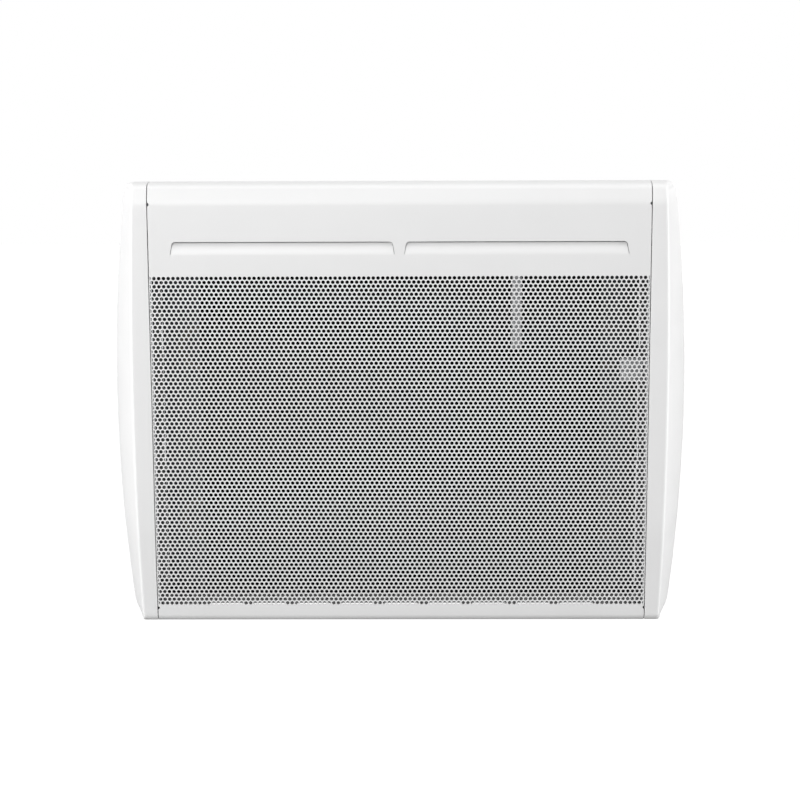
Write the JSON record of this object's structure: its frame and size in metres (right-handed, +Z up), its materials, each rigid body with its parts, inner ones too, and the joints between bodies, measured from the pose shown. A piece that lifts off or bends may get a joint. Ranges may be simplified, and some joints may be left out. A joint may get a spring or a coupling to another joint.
{
  "type": "radiant panel heater",
  "caption": "Wall-hung electric radiant panel heater with a perforated louvred front sheet between bowed end cheeks, hinged on a ladder bracket, with a sunken top control panel.",
  "frame": {"origin": "on the wall plane, at the middle of the bracket's centre rail", "axes": "+X to the viewer's right along the wall, +Y from the room into the wall, +Z up; the front sheet faces -Y"},
  "size_m": [0.587, 0.116, 0.451],
  "materials": {
    "white_steel": "satin white powder coat",
    "white_plastic": "satin white moulded plastic",
    "zinc_steel": "zinc-plated steel",
    "bright_steel": "bright plated steel",
    "dark_aluminium": "dark anodised aluminium",
    "aluminised_steel": "aluminised steel sheet",
    "element_steel": "heat-toned steel sheath",
    "grey_plastic": "matt grey moulded plastic",
    "black_plastic": "matt black moulded plastic",
    "black_rubber": "matt black rubber",
    "blued_steel": "heat-blued steel sheet",
    "lead_sleeve": "black heat-proof sleeving",
    "board_laminate": "green laminate",
    "amber_lens": "clear amber lens"
  },
  "bodies": {
    "wall_bracket": {"left_upright": "zinc_steel", "right_upright": "zinc_steel", "top_rail": "zinc_steel", "middle_rail": "zinc_steel", "bottom_rail": "zinc_steel", "left_hook": "zinc_steel", "right_hook": "zinc_steel", "left_spring_clip": "bright_steel", "right_spring_clip": "bright_steel"},
    "heater": {"front_sheet": "white_steel", "back_panel": "white_steel", "left_cheek": "white_plastic", "right_cheek": "white_plastic", "control_housing": "white_plastic", "left_side_plate": "zinc_steel", "right_side_plate": "zinc_steel", "emitter_stay": "zinc_steel", "cutout_bracket": "zinc_steel", "left_upper_emitter_pillar": "zinc_steel", "left_lower_emitter_pillar": "zinc_steel", "right_upper_emitter_pillar": "zinc_steel", "right_lower_emitter_pillar": "zinc_steel", "left_latch_stud": "bright_steel", "right_latch_stud": "bright_steel", "left_pivot_pin": "bright_steel", "right_pivot_pin": "bright_steel", "left_upper_cheek_screw": "bright_steel", "left_lower_cheek_screw": "bright_steel", "right_upper_cheek_screw": "bright_steel", "right_lower_cheek_screw": "bright_steel", "left_upper_element_clip": "bright_steel", "left_lower_element_clip": "bright_steel", "right_upper_element_clip": "bright_steel", "right_lower_element_clip": "bright_steel", "left_rear_stop": "black_rubber", "right_rear_stop": "black_rubber", "air_deflector": "aluminised_steel", "reflector": "blued_steel", "emitter_plate": "dark_aluminium", "upper_element": "element_steel", "lower_element": "element_steel", "thermal_cutout": "black_plastic", "thermostat_body": "black_plastic", "selector_body": "black_plastic", "rocker_frame": "black_plastic", "cable_gland": "black_plastic", "room_sensor": "grey_plastic", "control_fascia": "grey_plastic", "terminal_block": "grey_plastic", "supply_lead": "lead_sleeve", "return_lead": "lead_sleeve", "element_link": "lead_sleeve", "pilot_lens": "amber_lens", "circuit_board": "board_laminate"},
    "thermostat_knob": {"thermostat_dial": "white_plastic", "thermostat_spindle": "grey_plastic"},
    "selector_knob": {"selector_dial": "white_plastic", "selector_spindle": "grey_plastic"},
    "power_switch": {"power_rocker": "black_plastic"}
  },
  "joints": [
    {"name": "case_tilt", "type": "hinge", "parent": "wall_bracket", "child": "heater", "pos_m": [0, -0.022, -0.19], "axis": [1, 0, 0], "range_deg": [0, 15]},
    {"name": "thermostat_turn", "type": "hinge", "parent": "heater", "child": "thermostat_knob", "pos_m": [0.219, -0.055, 0.209], "axis": [0, 0, -1], "range_deg": [0, 270]},
    {"name": "selector_turn", "type": "hinge", "parent": "heater", "child": "selector_knob", "pos_m": [0.183, -0.055, 0.209], "axis": [0, 0, -1], "range_deg": [0, 150]},
    {"name": "rocker_tilt", "type": "hinge", "parent": "heater", "child": "power_switch", "pos_m": [0.154, -0.055, 0.2069], "axis": [1, 0, 0], "range_deg": [-18, 0]}
  ]
}
